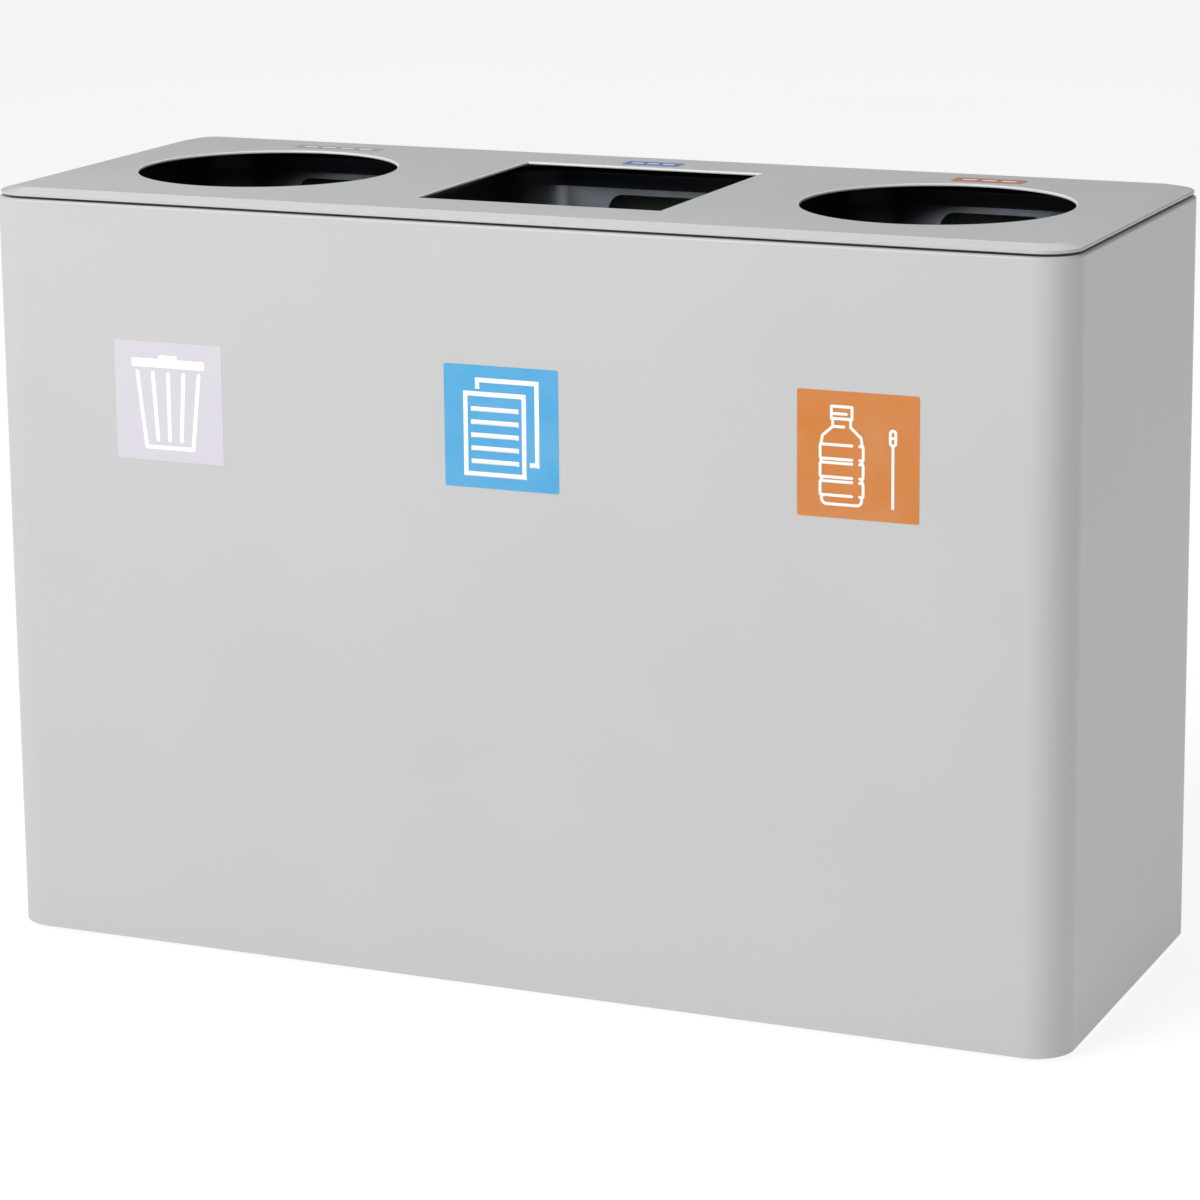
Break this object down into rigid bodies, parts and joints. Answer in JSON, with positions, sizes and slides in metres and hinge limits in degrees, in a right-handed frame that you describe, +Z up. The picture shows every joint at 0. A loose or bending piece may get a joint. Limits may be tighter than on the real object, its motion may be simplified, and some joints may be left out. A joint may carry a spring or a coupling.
{
  "type": "recycling bin station",
  "caption": "Free-standing sheet-steel recycling station: a hinged lid with round and square throw-in openings over lift-out inner bins, on levelling feet.",
  "frame": {"origin": "on the floor under the middle of the station's box", "axes": "+Z up, front with the signs faces -Y, +X to the right seen from the front, along the row of bins"},
  "size_m": [1.15, 0.451, 0.7852],
  "materials": {
    "housing_paint": "satin powder coat",
    "lid_paint": "satin powder coat",
    "bin_plastic": "satin moulded",
    "zinc_steel": "zinc plated",
    "foot_plastic": "moulded",
    "buffer_rubber": "matt",
    "film_grey": "satin film",
    "film_blue": "satin film",
    "film_orange": "satin film",
    "label_grey": "satin film",
    "label_blue": "satin film",
    "label_orange": "satin film"
  },
  "bodies": {
    "station": {"front_shell": "housing_paint", "rear_shell": "housing_paint", "seam_strip_left": "housing_paint", "seam_strip_right": "housing_paint", "floor_pan": "housing_paint", "divider_left": "housing_paint", "divider_right": "housing_paint", "bin_residual": "bin_plastic", "bin_paper": "bin_plastic", "bin_plastic": "bin_plastic", "foot_bush_front_left": "zinc_steel", "foot_bush_front_right": "zinc_steel", "foot_bush_rear_left": "zinc_steel", "foot_bush_rear_right": "zinc_steel", "hinge_wall_leaf_left": "zinc_steel", "hinge_wall_leaf_middle": "zinc_steel", "hinge_wall_leaf_right": "zinc_steel", "hinge_pin_left": "zinc_steel", "hinge_pin_middle": "zinc_steel", "hinge_pin_right": "zinc_steel", "hinge_rivets": "zinc_steel", "stay_bracket_left": "zinc_steel", "stay_bracket_right": "zinc_steel", "stay_pin_left": "zinc_steel", "stay_pin_right": "zinc_steel", "lid_buffer_1": "buffer_rubber", "lid_buffer_2": "buffer_rubber", "lid_buffer_3": "buffer_rubber", "lid_buffer_4": "buffer_rubber", "sticker_residual": "film_grey", "sticker_paper": "film_blue", "sticker_plastic": "film_orange"},
    "lid": {"lid_panel": "lid_paint", "lid_frame": "lid_paint", "hinge_lid_leaf_left": "zinc_steel", "hinge_lid_leaf_middle": "zinc_steel", "hinge_lid_leaf_right": "zinc_steel", "hinge_screws": "zinc_steel", "stay_arc_left": "zinc_steel", "stay_arc_right": "zinc_steel", "lid_label_left": "label_grey", "lid_label_middle": "label_blue", "lid_label_right": "label_orange"},
    "foot_front_left": {"foot_pad_front_left": "foot_plastic", "foot_stud_front_left": "zinc_steel"},
    "foot_front_right": {"foot_pad_front_right": "foot_plastic", "foot_stud_front_right": "zinc_steel"},
    "foot_rear_left": {"foot_pad_rear_left": "foot_plastic", "foot_stud_rear_left": "zinc_steel"},
    "foot_rear_right": {"foot_pad_rear_right": "foot_plastic", "foot_stud_rear_right": "zinc_steel"}
  },
  "joints": [
    {"name": "lid_hinge", "type": "hinge", "parent": "station", "child": "lid", "pos_m": [0, 0.2208, 0.7746], "axis": [-1, 0, 0], "range_deg": [0, 75]},
    {"name": "foot_front_left_screw", "type": "slide", "parent": "station", "child": "foot_front_left", "axis": [0, 0, -1], "range_m": [0, 0.01]},
    {"name": "foot_front_right_screw", "type": "slide", "parent": "station", "child": "foot_front_right", "axis": [0, 0, -1], "range_m": [0, 0.01]},
    {"name": "foot_rear_left_screw", "type": "slide", "parent": "station", "child": "foot_rear_left", "axis": [0, 0, -1], "range_m": [0, 0.01]},
    {"name": "foot_rear_right_screw", "type": "slide", "parent": "station", "child": "foot_rear_right", "axis": [0, 0, -1], "range_m": [0, 0.01]}
  ]
}
